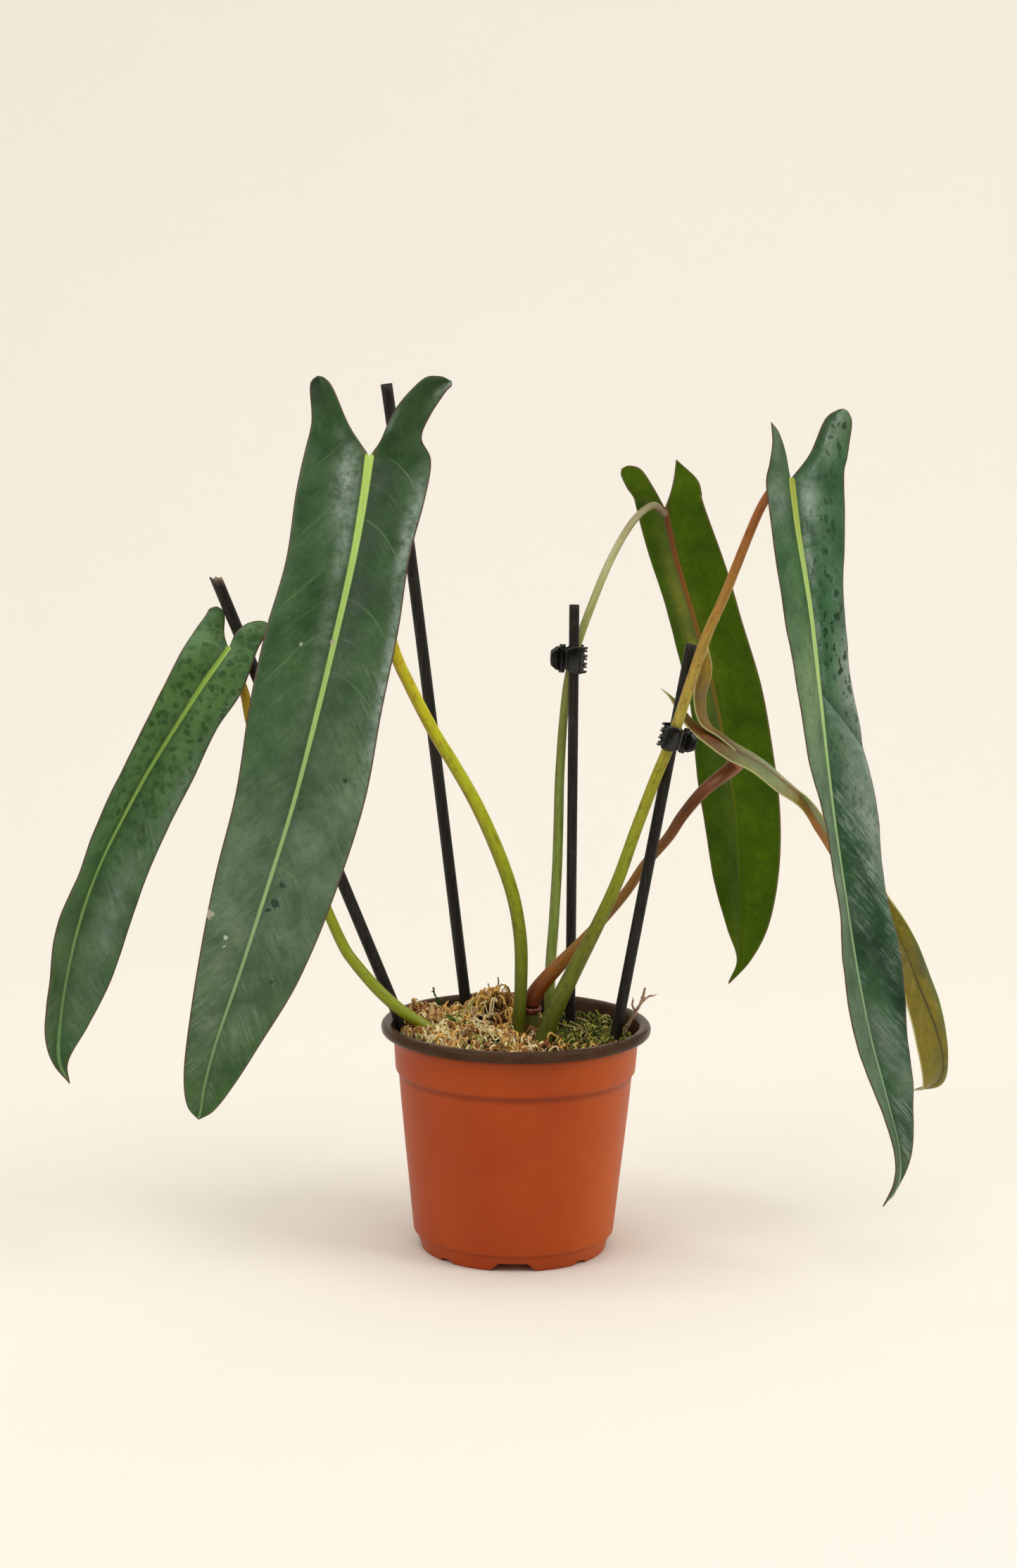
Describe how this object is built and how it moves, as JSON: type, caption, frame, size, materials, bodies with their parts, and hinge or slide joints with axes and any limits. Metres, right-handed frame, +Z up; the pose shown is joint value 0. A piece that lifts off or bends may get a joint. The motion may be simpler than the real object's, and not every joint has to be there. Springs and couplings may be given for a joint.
{
  "type": "potted philodendron",
  "caption": "Potted philodendron with long arrow-shaped leaves hanging from slender petioles, support stakes, claw clips and moss, in a nursery pot.",
  "frame": {"origin": "middle of the pot's underside, on the surface it stands on", "axes": "+Z up, +X to the viewer's right, +Y away from the viewer"},
  "size_m": [0.3976, 0.1717, 0.3862],
  "materials": {
    "terracotta_plastic": "satin",
    "potting_mix": "matte",
    "dried_moss": "matte",
    "green_moss": "matte",
    "green_stem": "satin",
    "brown_stem": "satin",
    "leaf_green": "satin",
    "leaf_back_green": "satin",
    "leaf_young_olive": "satin",
    "stake_black": "satin",
    "clip_black": "gloss",
    "steel": "satin",
    "bark": "matte"
  },
  "bodies": {
    "plant_and_pot": {"pot": "terracotta_plastic", "potting_soil": "potting_mix", "sphagnum_moss": "dried_moss", "green_moss": "green_moss", "main_stem": "green_stem", "petiole_front": "green_stem", "petiole_left": "green_stem", "petiole_right": "green_stem", "petiole_back": "green_stem", "petiole_young": "brown_stem", "blade_front": "leaf_green", "blade_left": "leaf_green", "blade_right": "leaf_green", "blade_back": "leaf_back_green", "blade_young": "leaf_young_olive", "stake_left": "stake_black", "stake_tall": "stake_black", "stake_middle": "stake_black", "stake_right": "stake_black", "twig": "bark", "clip_middle_fixed_jaw": "clip_black", "clip_middle_pin": "steel", "clip_middle_spring": "steel", "clip_right_fixed_jaw": "clip_black", "clip_right_pin": "steel", "clip_right_spring": "steel"},
    "clip_middle_jaw": {"clip_middle_moving_jaw": "clip_black"},
    "clip_right_jaw": {"clip_right_moving_jaw": "clip_black"}
  },
  "joints": [
    {"name": "clip_middle_hinge", "type": "hinge", "parent": "plant_and_pot", "child": "clip_middle_jaw", "pos_m": [0.0185, 0.0205, 0.26249], "axis": [0.0349, 0, 0.9994], "range_deg": [0, 30], "stiffness_Nm_per_rad": 0.02, "springref_deg": -17.19},
    {"name": "clip_right_hinge", "type": "hinge", "parent": "plant_and_pot", "child": "clip_right_jaw", "pos_m": [0.07164, -0.0096, 0.23032], "axis": [-0.2419, 0, -0.9703], "range_deg": [0, 30], "stiffness_Nm_per_rad": 0.02, "springref_deg": -17.19}
  ]
}
